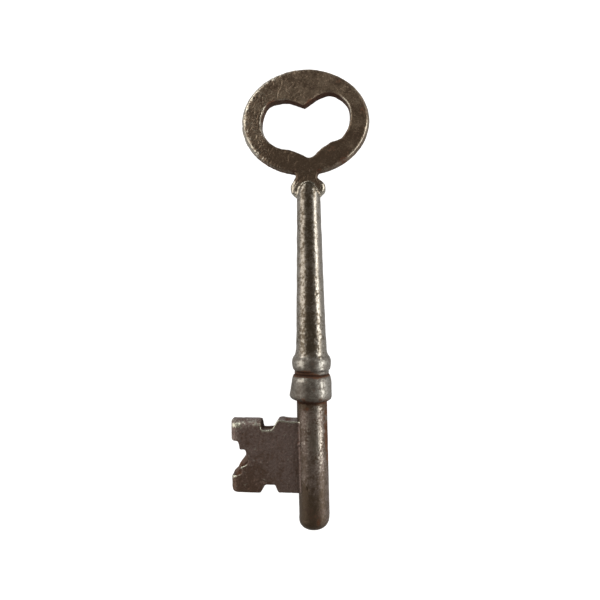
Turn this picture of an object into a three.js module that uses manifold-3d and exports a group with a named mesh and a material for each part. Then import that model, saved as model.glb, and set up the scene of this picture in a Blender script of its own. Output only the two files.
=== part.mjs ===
// A cast-iron skeleton key, three inches long: a flat oval bow with a heart-shaped eye, a tapered round
// stem, a bead and a collar, and a round pin that carries a flat bit cut for the wards of its lock.
// The key lies along Y. Its origin is the middle of the small flat on the pin's tip, the bow is at +Y,
// the bit points to -X, and +Z comes out of the front face. All sizes are in millimetres.

import * as THREE from "three";
import { mergeVertices } from "three/addons/utils/BufferGeometryUtils.js";
import Module from "manifold-3d";

// Pin: the round end that turns in the lock
const pinRadius = 2.55;
const tipFlatRadius = 1.2;
const tipRounding = 1.6;

// Collar: the wide band that stops the key in the lock
const collarWidth = 4.5;
const collarTopRadius = 2.85;
const collarRadius = 3.36;
const collarShoulder = 1.9;
const collarEdgeRounding = 0.5;

// Bead: the half-round ring on the collar
const beadWidth = 3.15;
const beadEdgeRadius = 2.6;
const beadRadius = 3.24;

// Stem: the tapered rod between the bead and the bow
const stemLength = 26.3;
const stemFootRadius = 2.55;
const stemMidRadius = 2.25;
const stemMidHeight = 8.7;
const stemHeadRadius = 1.93;
const headDomeStart = 0.4;
const headDomeHeight = 3.0;

// Spigot: the stem's turned-down end, which passes through the bead and the collar into the pin
const spigotRadius = 1.5;
const spigotClearance = 0.3;
const socketFloorWall = 1.0;

// Bow: the flat oval that the fingers hold
const bowThickness = 2.3;
const bowWidth = 21.35;
const bowHeight = 17.55;
const bowShift = -0.3;
const bowTilt = THREE.MathUtils.degToRad(-2.2);
const eyeTilt = THREE.MathUtils.degToRad(5.1);
const tangLength = 3.85;
const neckHalfWidth = 1.7;
const neckFromTop = 0.3;
const earReach = 2.9;
const earFoot = 0.95;
const earTop = 2.2;
const earRounding = 0.9;
const neckRounding = 0.5;

// Draft: the slope that lets the casting out of its mould, the same on the bow's outside and in its eye
const draft = 0.3;
const partingBand = 0.1;

// Eye: the heart-shaped hole in the bow, given by the widths of metal left round it. The circle of each of
// its two lobes passes the middle of the eye by the overlap.
const sideRim = 3.2;
const topRim = 4.75;
const bottomRim = 2.9;
const eyeShift = 0.16;
const lobeOverlap = 0.295;
const cuspDepth = 1.48;
const pointRadius = 0.8;
const lobeEndAngle = THREE.MathUtils.degToRad(-72);
const pointStartAngle = THREE.MathUtils.degToRad(-51);
const flankEase = 1.45;

// Bit: the flat web that throws the bolt
const bitThickness = 3.05;
const bitReach = 13.45;
const bitHeight = 11.85;
const bitFoot = 6.1;
const bitToCollar = 3.3;
const bitEdgeBevel = 0.1;
const bitTongueDepth = 1.5;
const bitCorner = 0.62;
const bitFootCorner = 0.9;
const cutCorner = 0.22;

// Ward cuts: one in the bit's upper edge, one in its lower edge, both placed by their distance from the axis
const upperCut = { innerMouth: 5.75, innerFloor: 6.65, outerFloor: 8.45, outerMouth: 8.7, depth: 1.42 };
const lowerCut = { innerMouth: 5.75, innerFloor: 6.3, outerFloor: 7.95, outerMouth: 8.75, depth: 1.25 };

// End cut: the stepped gap between the two jaws at the bit's end
const upperJaw = 3.35;
const upperStep = 4.8;
const lowerJaw = 2.8;
const lowerStep = 3.3;
const lowerRampTop = 4.3;
const endCutFloorPlace = 0.64;
const stepDepth = 1.27;
const endCutDepth = 2.55;
const stepTread = 0.95;

// Faces round each turned piece, and the share of a side that one rounded corner may take
const turnedSides = 48;
const cornerShare = 0.5;

// Sizes and heights that follow from the ones above
const pinLength = bitFoot + bitHeight + bitToCollar;
const collarHeight = pinLength;
const beadHeight = collarHeight + collarWidth;
const stemHeight = beadHeight + beadWidth;
const forkFloor = stemHeight + stemLength;
const bowCentre = forkFloor + tangLength + bowHeight / 2;
const boreRadius = spigotRadius + spigotClearance;
const socketFloor = bitFoot + bitHeight + socketFloorWall;
const spigotLength = stemHeight - socketFloor - spigotClearance;
const lobeRadius = (bowWidth / 2 - sideRim + lobeOverlap) / 2;
const lobeReach = lobeRadius - lobeOverlap;

// A point list along an arc, from one angle to another
function arcPoints(x, y, radiusX, radiusY, from, to, steps) {
  return Array.from({ length: steps + 1 }, (_, i) => {
    const angle = from + ((to - from) * i) / steps;
    return new THREE.Vector2(x + radiusX * Math.cos(angle), y + radiusY * Math.sin(angle));
  });
}

// The arc that rounds off one corner of an outline and meets both its sides smoothly. A side that is too
// short for the arc makes the arc smaller.
function roundCorner([x0, y0], [x, y, radius], [x1, y1]) {
  const corner = new THREE.Vector2(x, y);
  if (radius === 0) {
    return [corner];
  }
  const back = new THREE.Vector2(x0, y0).sub(corner);
  const ahead = new THREE.Vector2(x1, y1).sub(corner);
  const room = Math.min(back.length(), ahead.length()) * cornerShare;
  back.normalize();
  ahead.normalize();
  const halfAngle = Math.acos(back.dot(ahead)) / 2;
  const reach = Math.min(radius / Math.tan(halfAngle), room);
  const fitted = reach * Math.tan(halfAngle);
  const middle = back.clone().add(ahead).normalize();
  const centre = corner.clone().addScaledVector(middle, fitted / Math.sin(halfAngle));
  const start = corner.clone().addScaledVector(back, reach).sub(centre).angle();
  const end = corner.clone().addScaledVector(ahead, reach).sub(centre).angle();
  const turn = THREE.MathUtils.euclideanModulo(end - start + Math.PI, 2 * Math.PI) - Math.PI;
  return arcPoints(centre.x, centre.y, fitted, fitted, start, start + turn, 4);
}

// A closed outline from corners given as [x, y, rounding radius]
function roundedOutline(corners) {
  return corners.flatMap((corner, i) =>
    roundCorner(corners.at(i - 1), corner, corners[(i + 1) % corners.length]));
}

// A solid turned about Y from a profile of radii and heights
function turned(profile) {
  const points = profile.map(([radius, height]) => new THREE.Vector2(radius, height));
  return new THREE.LatheGeometry(points, turnedSides);
}

const wasm = await Module();
wasm.setup();

// The same surface as a solid for cutting
function toSolid(geometry) {
  const bare = geometry.clone();
  bare.deleteAttribute("normal");
  bare.deleteAttribute("uv");
  const merged = mergeVertices(bare, 1e-5);
  const mesh = new wasm.Mesh({
    numProp: 3,
    vertProperties: new Float32Array(merged.attributes.position.array),
    triVerts: new Uint32Array(merged.index.array),
  });
  mesh.merge();
  return new wasm.Manifold(mesh);
}

// A geometry again, with flat faces
function toGeometry(solid) {
  const mesh = solid.getMesh();
  const geometry = new THREE.BufferGeometry();
  geometry.setAttribute("position", new THREE.BufferAttribute(new Float32Array(mesh.vertProperties), 3));
  geometry.setIndex(new THREE.BufferAttribute(new Uint32Array(mesh.triVerts), 1));
  const faceted = geometry.toNonIndexed();
  faceted.computeVertexNormals();
  return faceted;
}

// A box between two corners, for cutting slots
function boxBetween(low, high) {
  const size = high.map((value, i) => value - low[i]);
  const box = new THREE.BoxGeometry(...size);
  box.translate(...low.map((value, i) => value + size[i] / 2));
  return box;
}

// Pin, with a rounded tip, a socket for the spigot and a mortise for the bit's tongue
function pinGeometry() {
  const tip = arcPoints(
    tipFlatRadius, tipRounding, pinRadius - tipFlatRadius, tipRounding, -Math.PI / 2, 0, 6);
  const body = turned([
    [0, 0],
    ...tip.map((point) => point.toArray()),
    [pinRadius, pinLength],
    [boreRadius, pinLength],
    [boreRadius, socketFloor],
    [0, socketFloor],
  ]);
  const mortise = boxBetween(
    [-2 * pinRadius, bitFoot, -bitThickness / 2],
    [bitTongueDepth - pinRadius, bitFoot + bitHeight, bitThickness / 2]);
  return toGeometry(toSolid(body).subtract(toSolid(mortise)));
}

// Collar, a band with a sloping shoulder above and a rounded edge below. Its lower face sits on the pin as
// far as the pin's own radius, and the ring outside that is the stop.
function collarGeometry() {
  const edge = arcPoints(
    collarRadius - collarEdgeRounding, collarEdgeRounding,
    collarEdgeRounding, collarEdgeRounding, -Math.PI / 2, 0, 4);
  const shoulder = arcPoints(
    collarTopRadius, collarWidth - collarShoulder,
    collarRadius - collarTopRadius, collarShoulder, 0, Math.PI / 2, 4);
  return turned([
    [boreRadius, 0],
    [pinRadius, 0],
    ...edge.map((point) => point.toArray()),
    ...shoulder.map((point) => point.toArray()),
    [boreRadius, collarWidth],
    [boreRadius, 0],
  ]);
}

// Bead, a half-round ring
function beadGeometry() {
  const round = arcPoints(
    beadEdgeRadius, beadWidth / 2, beadRadius - beadEdgeRadius, beadWidth / 2,
    -Math.PI / 2, Math.PI / 2, 10);
  return turned([
    [boreRadius, 0],
    ...round.map((point) => point.toArray()),
    [boreRadius, beadWidth],
    [boreRadius, 0],
  ]);
}

// Stem, with the spigot below and a domed head that is slotted for the bow's tang
function stemGeometry() {
  const taper = new THREE.QuadraticBezierCurve(
    new THREE.Vector2(stemFootRadius, 0),
    new THREE.Vector2(stemMidRadius, stemMidHeight),
    new THREE.Vector2(stemHeadRadius, stemLength)).getPoints(6);
  const dome = arcPoints(0, stemLength + headDomeStart, stemHeadRadius, headDomeHeight, 0, Math.PI / 2, 8);
  const body = turned([
    [0, -spigotLength],
    [spigotRadius, -spigotLength],
    [spigotRadius, 0],
    ...taper.map((point) => point.toArray()),
    ...dome.slice(0, -1).map((point) => point.toArray()),
    [0, stemLength + headDomeStart + headDomeHeight],
  ]);
  const slot = boxBetween(
    [-2 * stemHeadRadius, stemLength, -bowThickness / 2],
    [2 * stemHeadRadius, stemLength + 2 * headDomeHeight, bowThickness / 2]);
  return toGeometry(toSolid(body).subtract(toSolid(slot)));
}

// Outline of the oval and the tang, measured from the floor of the stem's fork
function bowOutline() {
  const centreY = bowCentre - forkFloor;
  const [cos, sin] = [Math.cos(bowTilt), Math.sin(bowTilt)];
  const onOval = (angle) => {
    const [along, across] = [(bowWidth / 2) * Math.cos(angle), (bowHeight / 2) * Math.sin(angle)];
    return [bowShift + along * cos - across * sin, centreY + along * sin + across * cos];
  };
  // The oval's angle where it is a given distance from the key's axis, on its lower side
  const swing = Math.hypot((bowWidth / 2) * cos, (bowHeight / 2) * sin);
  const lead = Math.atan2(-bowHeight * sin, bowWidth * cos);
  const angleAt = (x) => lead - Math.acos((x - bowShift) / swing);
  const start = angleAt(neckHalfWidth + neckRounding);
  const end = angleAt(-neckHalfWidth - neckRounding) + 2 * Math.PI;
  const ovalSteps = 72;
  const oval = Array.from({ length: ovalSteps + 1 }, (_, i) =>
    [...onOval(start + ((end - start) * i) / ovalSteps), 0]);
  const neckHeight = tangLength - neckFromTop;
  return roundedOutline([
    [-stemHeadRadius, 0, 0],
    [stemHeadRadius, 0, 0],
    [earReach, earFoot, earRounding],
    [earReach, earTop, earRounding],
    [neckHalfWidth, neckHeight, neckRounding],
    ...oval,
    [-neckHalfWidth, neckHeight, neckRounding],
    [-earReach, earTop, earRounding],
    [-earReach, earFoot, earRounding],
  ]);
}

// Outline of the heart-shaped eye, which leans the other way from the oval
function eyeOutline() {
  const rise = bowHeight / 2 - topRim - lobeRadius;
  const cusp = bowHeight / 2 - topRim - cuspDepth;
  const pointCentre = bottomRim - bowHeight / 2 + pointRadius;
  const toCusp = Math.hypot(lobeReach, cusp - rise);
  const tangent = Math.asin(lobeRadius / toCusp) - Math.atan2(cusp - rise, lobeReach);
  const lobe = arcPoints(lobeReach, rise, lobeRadius, lobeRadius, tangent + Math.PI / 2, lobeEndAngle, 20);
  const point = arcPoints(0, pointCentre, pointRadius, pointRadius, pointStartAngle, -Math.PI / 2, 3);
  const lobeEnd = lobe.at(-1);
  const pointStart = point[0];
  const lobeWay = new THREE.Vector2(Math.sin(lobeEndAngle), -Math.cos(lobeEndAngle));
  const pointWay = new THREE.Vector2(-Math.sin(pointStartAngle), Math.cos(pointStartAngle));
  const flank = new THREE.CubicBezierCurve(
    lobeEnd,
    lobeEnd.clone().addScaledVector(lobeWay, flankEase),
    pointStart.clone().addScaledVector(pointWay, flankEase),
    pointStart).getPoints(6);
  const rightHalf = [...lobe, ...flank.slice(1, -1), ...point];
  const leftHalf = rightHalf.slice(0, -1).reverse().map((p) => new THREE.Vector2(-p.x, p.y));
  const origin = new THREE.Vector2(0, 0);
  return [new THREE.Vector2(0, cusp), ...rightHalf, ...leftHalf].map((p) =>
    p.add(new THREE.Vector2(eyeShift, 0))
      .rotateAround(origin, eyeTilt)
      .add(new THREE.Vector2(bowShift, bowCentre - forkFloor)));
}

// Bow, one plate with its tang, drafted both ways from the parting line round its edge
function bowGeometry() {
  const shape = new THREE.Shape(bowOutline());
  shape.holes.push(new THREE.Path(eyeOutline()));
  const plate = new THREE.ExtrudeGeometry(shape, {
    depth: partingBand,
    bevelThickness: (bowThickness - partingBand) / 2,
    bevelSize: draft,
    bevelOffset: -draft,
    bevelSegments: 1,
  });
  plate.translate(0, 0, -partingBand / 2);
  return toGeometry(toSolid(plate));
}

// Outline of the bit, measured from its foot. It starts in the pin's mortise and runs round the ward cuts.
function bitOutline() {
  const inner = bitTongueDepth - pinRadius;
  const top = bitHeight;
  const endCutFloor = THREE.MathUtils.lerp(lowerRampTop, top - upperStep, endCutFloorPlace);
  return roundedOutline([
    [inner, top, 0],
    [-upperCut.innerMouth, top, cutCorner],
    [-upperCut.innerFloor, top - upperCut.depth, 3 * cutCorner],
    [-upperCut.outerFloor, top - upperCut.depth, cutCorner],
    [-upperCut.outerMouth, top, cutCorner],
    [-bitReach, top, bitCorner],
    [-bitReach, top - upperJaw, bitCorner],
    [stepDepth - bitReach, top - upperJaw, cutCorner],
    [stepDepth - bitReach, top - upperStep, cutCorner],
    [stepDepth - bitReach + stepTread, top - upperStep, 2 * cutCorner],
    [endCutDepth - bitReach, endCutFloor, 2 * cutCorner],
    [stepDepth - bitReach, lowerRampTop, cutCorner],
    [stepDepth - bitReach, lowerStep, cutCorner],
    [-bitReach, lowerJaw, bitCorner],
    [-bitReach, 0, bitFootCorner],
    [-lowerCut.outerMouth, 0, cutCorner],
    [-lowerCut.outerFloor, lowerCut.depth, cutCorner],
    [-lowerCut.innerFloor, lowerCut.depth, cutCorner],
    [-lowerCut.innerMouth, 0, cutCorner],
    [inner, 0, 0],
  ]);
}

// Bit, a flat web with lightly broken edges
function bitGeometry() {
  const web = new THREE.ExtrudeGeometry(new THREE.Shape(bitOutline()), {
    depth: bitThickness - 2 * bitEdgeBevel,
    bevelThickness: bitEdgeBevel,
    bevelSize: bitEdgeBevel,
    bevelOffset: -bitEdgeBevel,
    bevelSegments: 1,
  });
  web.translate(0, 0, bitEdgeBevel - bitThickness / 2);
  return toGeometry(toSolid(web));
}

// One named piece of iron at its height on the key
function piece(name, geometry, height, color, roughness) {
  const material = new THREE.MeshStandardMaterial({ color, roughness, metalness: 0.85 });
  const mesh = new THREE.Mesh(geometry, material);
  mesh.name = name;
  mesh.position.y = height;
  return mesh;
}

const skeletonKey = new THREE.Group();
skeletonKey.add(
  piece("pin", pinGeometry(), 0, 0x5c4f4a, 0.5),
  piece("collar", collarGeometry(), collarHeight, 0x6b6158, 0.45),
  piece("bead", beadGeometry(), beadHeight, 0x6b6158, 0.45),
  piece("stem", stemGeometry(), stemHeight, 0x7d776c, 0.4),
  piece("bow", bowGeometry(), forkFloor, 0x554d3f, 0.55),
  piece("bit", bitGeometry(), bitFoot, 0x493f3b, 0.55),
);

export default skeletonKey;
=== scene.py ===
# An old cast-iron skeleton key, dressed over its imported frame. The frame's axes hold throughout: +Y runs
# from the pin's tip to the bow, the bit points to -X, and +Z comes out of the front face. Sizes are in
# millimetres until a finished surface is scaled to metres.
import math

import bpy
import numpy as np
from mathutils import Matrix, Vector, noise
from mathutils.geometry import tessellate_polygon


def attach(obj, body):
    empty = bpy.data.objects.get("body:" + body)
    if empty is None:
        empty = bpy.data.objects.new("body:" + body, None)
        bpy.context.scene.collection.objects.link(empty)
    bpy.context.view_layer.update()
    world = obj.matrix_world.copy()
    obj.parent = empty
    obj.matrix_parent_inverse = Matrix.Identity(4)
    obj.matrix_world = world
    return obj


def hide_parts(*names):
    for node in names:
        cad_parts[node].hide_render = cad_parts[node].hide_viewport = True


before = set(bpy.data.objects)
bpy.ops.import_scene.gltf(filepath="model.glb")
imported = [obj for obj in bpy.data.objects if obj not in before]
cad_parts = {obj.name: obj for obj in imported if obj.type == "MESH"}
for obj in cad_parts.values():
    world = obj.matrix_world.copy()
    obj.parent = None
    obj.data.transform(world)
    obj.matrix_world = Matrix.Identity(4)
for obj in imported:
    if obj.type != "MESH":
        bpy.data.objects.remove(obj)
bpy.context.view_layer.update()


# Pin: the round end that turns in the lock, cast in grey iron. It is rubbed grey along its front, dark along
# its left edge, and rusty along its right edge and under the collar, where painted shadow darkens it too. It
# is bent a hair to the right, and its tip leans back to the left.
PIN_RADIUS = 2.55
PIN_TIP_FLAT = 1.05
PIN_TIP_ROUNDING = 1.6
PIN_TOP = 21.25
PIN_OVERLAP = 0.3
PIN_BEND = 0.1
PIN_BEND_TOP = 18
PIN_TIP_LEAN = 0.17
PIN_TIP_LEAN_TOP = 2.2
PIN_DENT = 0.14
MM_PER_METRE = 1000
SKIN_SPACING = 0.11
WAVE_SIZE = 1.9
GRAIN_SIZE = 0.55
PIT_SIZE = 0.4
PIT_THRESHOLD = 0.18
NOISE_PEAK = 0.5
LAY_STRETCH = 0.25


def round_bar(profile, soften):
    """Points and faces of a piece turned about Y, from a profile of (radius, height) corners that starts and
    ends on the axis. Corners are softened by averaging along the profile."""
    corners = np.array(profile, float)
    steps = np.hypot(*np.diff(corners, axis=0).T)
    along = np.concatenate([[0], np.cumsum(steps)])
    count = int(along[-1] / SKIN_SPACING)
    places = np.linspace(0, along[-1], count + 1)
    rings = np.stack([np.interp(places, along, corners[:, i]) for i in (0, 1)], 1)
    for _ in range(soften):
        rings[1:-1] = (rings[:-2] + 2 * rings[1:-1] + rings[2:]) / 4
    widest = corners[:, 0].max()
    sides = int(2 * math.pi * widest / SKIN_SPACING)
    turn = np.arange(sides) * 2 * math.pi / sides
    inner = rings[1:-1]
    x = inner[:, :1] * np.cos(turn)
    z = inner[:, :1] * np.sin(turn)
    y = np.repeat(inner[:, 1:], sides, 1)
    points = np.stack([x, y, z], 2).reshape(-1, 3)
    ends = [[0, rings[0, 1], 0], [0, rings[-1, 1], 0]]
    points = np.vstack([points, ends])
    faces = []
    for ring in range(len(inner) - 1):
        for side in range(sides):
            after = (side + 1) % sides
            low = ring * sides
            faces.append((low + side, low + sides + side, low + sides + after, low + after))
    first, last = len(points) - 2, len(points) - 1
    top = (len(inner) - 1) * sides
    for side in range(sides):
        after = (side + 1) % sides
        faces.append((first, side, after))
        faces.append((top + side, last, top + after))
    return points, faces


def arc(x, y, radius_x, radius_y, start, end, steps):
    """Points on a part of an ellipse, with its angles in degrees."""
    angles = np.radians(np.linspace(start, end, steps + 1))
    return [(x + radius_x * math.cos(a), y + radius_y * math.sin(a)) for a in angles]


def iron_mesh(name, points, faces):
    """A smooth-shaded mesh of these points and faces."""
    mesh = bpy.data.meshes.new(name)
    mesh.from_pydata(points.tolist(), [], faces)
    mesh.shade_smooth()
    return mesh


def mesh_points(mesh, what="co"):
    """The places or the normals of a mesh's points, one row each."""
    values = np.empty(len(mesh.vertices) * 3)
    if what == "normal":
        mesh.vertex_normals.foreach_get("vector", values)
    else:
        mesh.vertices.foreach_get("co", values)
    return values.reshape(-1, 3)


def move_points(mesh, points):
    """Puts a mesh's points at these places."""
    mesh.vertices.foreach_set("co", points.ravel())
    mesh.update()


def ramp(values, start, end):
    """How far each value is on its way from a start, 0 up to there, to an end, 1 from there on."""
    return np.clip((values - start) / (end - start), 0, 1)


def spot(points, centre, size):
    """How near each point is to a centre, 1 there and fading to 0, with a size for each axis."""
    offset = (points - np.array(centre)) / np.array(size)
    return np.exp(-(offset ** 2).sum(1))


def marks(points, named):
    """What some named marks add up to at each point. Each mark gives its strength, its centre and its size
    for each axis."""
    return sum(strength * spot(points, centre, size) for strength, centre, size in named.values())


def cloudy(places, size):
    """Soft noise in patches of a size, as often below 0 as above it, at each of these places."""
    return np.array([noise.noise(Vector(place) / size) for place in places])


def roughen(mesh, waves, grain, pits, seed, lay=0.0):
    """Moves each point in or out, as old cast iron is: soft waves, a finer grain and small rust pits. Each
    height is in millimetres, one number or one for each point. The grain can be drawn out along a lay, an
    angle seen from the front."""
    points = mesh_points(mesh)
    normals = mesh_points(mesh, "normal")
    wave_height = np.empty(len(points))
    grain_height = np.empty(len(points))
    pit_depth = np.empty(len(points))
    along = Vector((math.cos(lay), math.sin(lay), 0))
    for i, point in enumerate(points):
        place = Vector(point)
        if lay:
            place -= LAY_STRETCH * place.dot(along) * along
        place += Vector((seed, seed, seed))
        wave_height[i] = noise.noise(place / WAVE_SIZE)
        grain_height[i] = noise.noise(place / GRAIN_SIZE)
        pit = noise.noise(place / PIT_SIZE + Vector((7, 0, 0))) - PIT_THRESHOLD
        pit_depth[i] = max(pit, 0) / NOISE_PEAK
    shift = waves * wave_height + grain * grain_height - pits * pit_depth
    move_points(mesh, points + normals * shift[:, None])


def finish_piece(mesh, node, material, worn, rusted, stained, polished):
    """Keeps how worn, rusted, stained and polished each point is, scales the piece to metres and puts it in
    the frame."""
    finish = {"worn": worn, "rusted": rusted, "stained": stained, "polished": polished}
    for name, values in finish.items():
        layer = mesh.attributes.new(name, "FLOAT", "POINT")
        values = np.clip(values, 0, 1) * np.ones(len(mesh.vertices))
        layer.data.foreach_set("value", values.astype(np.float32))
    move_points(mesh, mesh_points(mesh) / MM_PER_METRE)
    mesh.materials.append(material)
    piece = bpy.data.objects.new(f"worn_{node}", mesh)
    bpy.context.scene.collection.objects.link(piece)
    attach(piece, "root")
    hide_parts(node)


def make_iron_group():
    """The skin of old iron, as a node group: a mottled patina, bare metal where handling has rubbed through
    it, brown rust in the low places, and the fine height of grain and pits."""
    group = bpy.data.node_groups.new("old_iron", "ShaderNodeTree")
    add_socket = group.interface.new_socket
    colours = {
        "Patina": (0.1, 0.085, 0.06, 1),
        "Dark Patina": (0.04, 0.032, 0.025, 1),
        "Bare Iron": (0.45, 0.43, 0.4, 1),
        "Rust": (0.09, 0.035, 0.015, 1),
    }
    for name, colour in colours.items():
        add_socket(name, in_out="INPUT", socket_type="NodeSocketColor").default_value = colour
    numbers = {
        "Worn": 0.3,
        "Rusted": 0.1,
        "Stained": 0.3,
        "Polished": 0.0,
        "Pit Rust": 0.3,
        "Grain Size": 0.35,
        "Grain Height": 0.012,
        "Bare Roughness": 0.3,
        "Patina Roughness": 0.5,
        "Patina Metal": 0.6,
    }
    for name, number in numbers.items():
        add_socket(name, in_out="INPUT", socket_type="NodeSocketFloat").default_value = number
    add_socket("Color", in_out="OUTPUT", socket_type="NodeSocketColor")
    for name in ("Roughness", "Metallic", "Height"):
        add_socket(name, in_out="OUTPUT", socket_type="NodeSocketFloat")

    nodes = group.nodes
    links = group.links
    given = nodes.new("NodeGroupInput").outputs
    result = nodes.new("NodeGroupOutput").inputs
    place = nodes.new("ShaderNodeTexCoord").outputs["Object"]
    in_millimetres = nodes.new("ShaderNodeVectorMath")
    in_millimetres.operation = "SCALE"
    in_millimetres.inputs["Scale"].default_value = MM_PER_METRE
    links.new(place, in_millimetres.inputs[0])

    def cloud(scale, detail, roughness):
        node = nodes.new("ShaderNodeTexNoise")
        links.new(in_millimetres.outputs[0], node.inputs["Vector"])
        if isinstance(scale, (int, float)):
            node.inputs["Scale"].default_value = scale
        else:
            links.new(scale, node.inputs["Scale"])
        node.inputs["Detail"].default_value = detail
        node.inputs["Roughness"].default_value = roughness
        return node.outputs["Fac"]

    def maths(operation, *values):
        node = nodes.new("ShaderNodeMath")
        node.operation = operation
        for socket, value in zip(node.inputs, values):
            if isinstance(value, (int, float)):
                socket.default_value = value
            else:
                links.new(value, socket)
        return node.outputs[0]

    def between(value, low, high):
        node = nodes.new("ShaderNodeMapRange")
        node.interpolation_type = "SMOOTHSTEP"
        links.new(value, node.inputs["Value"])
        node.inputs["From Min"].default_value = low
        node.inputs["From Max"].default_value = high
        return node.outputs["Result"]

    def blend(factor, first, second, kind="MIX"):
        node = nodes.new("ShaderNodeMix")
        node.data_type = "RGBA"
        node.blend_type = kind
        for socket, value in zip((node.inputs[0], node.inputs[6], node.inputs[7]), (factor, first, second)):
            if isinstance(value, (int, float, tuple)):
                socket.default_value = value
            else:
                links.new(value, socket)
        return node.outputs[2]

    def blend_number(factor, first, second):
        return maths("ADD", maths("MULTIPLY", maths("SUBTRACT", 1, factor), first),
                     maths("MULTIPLY", factor, second))

    # Clouds at four sizes: broad ones, the grain, a finer grain, and the pits as the peaks of a fourth
    grain_scale = maths("DIVIDE", 1, given["Grain Size"])
    broad = cloud(0.45, 4, 0.6)
    grain = cloud(grain_scale, 2, 0.6)
    fine = cloud(maths("MULTIPLY", grain_scale, 2.7), 3, 0.6)
    pitted = between(cloud(maths("MULTIPLY", grain_scale, 0.8), 2, 0.5), 0.6, 0.74)

    # Where the metal is bare, and where it is rusty
    unpolished = maths("SUBTRACT", 1, given["Polished"])
    grain_wear = maths("MULTIPLY", maths("MULTIPLY", maths("SUBTRACT", grain, 0.5), 1.5), unpolished)
    broad_wear = maths("MULTIPLY", maths("SUBTRACT", broad, 0.5), 0.7)
    bare = between(maths("ADD", maths("ADD", given["Worn"], grain_wear), broad_wear), 0.34, 0.78)
    bare = maths("MULTIPLY", bare, maths("SUBTRACT", 1, maths("MULTIPLY", pitted, 0.8)))
    grain_rust = maths("MULTIPLY", maths("SUBTRACT", grain, 0.5), 1.1)
    broad_rust = maths("MULTIPLY", maths("SUBTRACT", broad, 0.5), 0.8)
    rust = between(maths("ADD", maths("ADD", given["Rusted"], grain_rust), broad_rust), 0.35, 0.65)
    rust = maths("MAXIMUM", rust, maths("MULTIPLY", pitted, given["Pit Rust"]))

    # Colour, gloss and height
    clean = maths("ADD", maths("MULTIPLY", grain, 0.5), maths("MULTIPLY", broad, 0.5))
    clean = maths("SUBTRACT", clean, maths("MULTIPLY", maths("SUBTRACT", given["Stained"], 0.3), 0.4))
    mottled = blend(between(clean, 0.36, 0.64), given["Dark Patina"], given["Patina"])
    rubbed = blend(bare, mottled, given["Bare Iron"])
    old_rust = blend(between(given["Stained"], 0.5, 1.0), (1, 1, 1, 1), (0.3, 0.26, 0.24, 1))
    rusty = blend(maths("MULTIPLY", rust, 0.9), rubbed, blend(1.0, given["Rust"], old_rust, "MULTIPLY"))
    speckle = blend(between(fine, 0.3, 0.7), (0.82, 0.82, 0.82, 1), (1.16, 1.16, 1.16, 1))
    links.new(blend(1.0, rusty, speckle, "MULTIPLY"), result["Color"])
    smoothness = blend_number(bare, given["Patina Roughness"], given["Bare Roughness"])
    links.new(blend_number(rust, smoothness, 0.85), result["Roughness"])
    metal = blend_number(bare, given["Patina Metal"], 1.0)
    links.new(blend_number(rust, metal, 0.0), result["Metallic"])
    height = maths("ADD", maths("MULTIPLY", grain, 1.6), maths("MULTIPLY", fine, 0.6))
    height = maths("SUBTRACT", height, maths("MULTIPLY", pitted, 1.2))
    height = maths("MULTIPLY", height, given["Grain Height"])
    links.new(maths("MULTIPLY", height, unpolished), result["Height"])
    return group


old_iron = make_iron_group()


def iron_material(name, values):
    """One piece's iron: the old_iron group with this piece's values, feeding one shader."""
    material = bpy.data.materials.new(name)
    material.use_nodes = True
    nodes = material.node_tree.nodes
    links = material.node_tree.links
    shader = nodes["Principled BSDF"]
    skin = nodes.new("ShaderNodeGroup")
    skin.node_tree = old_iron
    for socket, value in values.items():
        skin.inputs[socket].default_value = value
    for socket in ("Worn", "Rusted", "Stained", "Polished"):
        reader = nodes.new("ShaderNodeAttribute")
        reader.attribute_name = socket.lower()
        links.new(reader.outputs["Fac"], skin.inputs[socket])
    shader.inputs["Specular IOR Level"].default_value = 0.15
    bump = nodes.new("ShaderNodeBump")
    bump.inputs["Distance"].default_value = 1 / MM_PER_METRE
    bump.inputs["Strength"].default_value = 1.0
    links.new(skin.outputs["Height"], bump.inputs["Height"])
    links.new(skin.outputs["Color"], shader.inputs["Base Color"])
    links.new(skin.outputs["Roughness"], shader.inputs["Roughness"])
    links.new(skin.outputs["Metallic"], shader.inputs["Metallic"])
    links.new(bump.outputs["Normal"], shader.inputs["Normal"])
    return material


pin_iron = iron_material("pin_iron", {
    "Patina": (0.175, 0.142, 0.127, 1),
    "Dark Patina": (0.076, 0.055, 0.038, 1),
    "Bare Iron": (0.27, 0.245, 0.215, 1),
    "Rust": (0.085, 0.034, 0.015, 1),
    "Pit Rust": 0.3,
    "Grain Size": 0.34,
    "Grain Height": 0.010,
    "Bare Roughness": 0.34,
    "Patina Roughness": 0.5,
    "Patina Metal": 0.65,
})

pin_profile = [
    (0, 0),
    *arc(PIN_TIP_FLAT, PIN_TIP_ROUNDING, PIN_RADIUS - PIN_TIP_FLAT, PIN_TIP_ROUNDING, -90, 0, 16),
    (PIN_RADIUS, PIN_TOP + PIN_OVERLAP),
    (0, PIN_TOP + PIN_OVERLAP),
]
points, faces = round_bar(pin_profile, 4)
points[:, 0] += PIN_BEND * ramp(points[:, 1], PIN_BEND_TOP, 0)
points[:, 0] -= PIN_TIP_LEAN * ramp(points[:, 1], PIN_TIP_LEAN_TOP, 0)
points[:, 2] -= PIN_DENT * spot(points, (-0.7, 7.2, PIN_RADIUS), (0.16, 0.2, 0.5))
pin_mesh = iron_mesh("worn_pin", points, faces)
roughen(pin_mesh, waves=0.012, grain=0.01, pits=0.025, seed=11.0)

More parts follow.
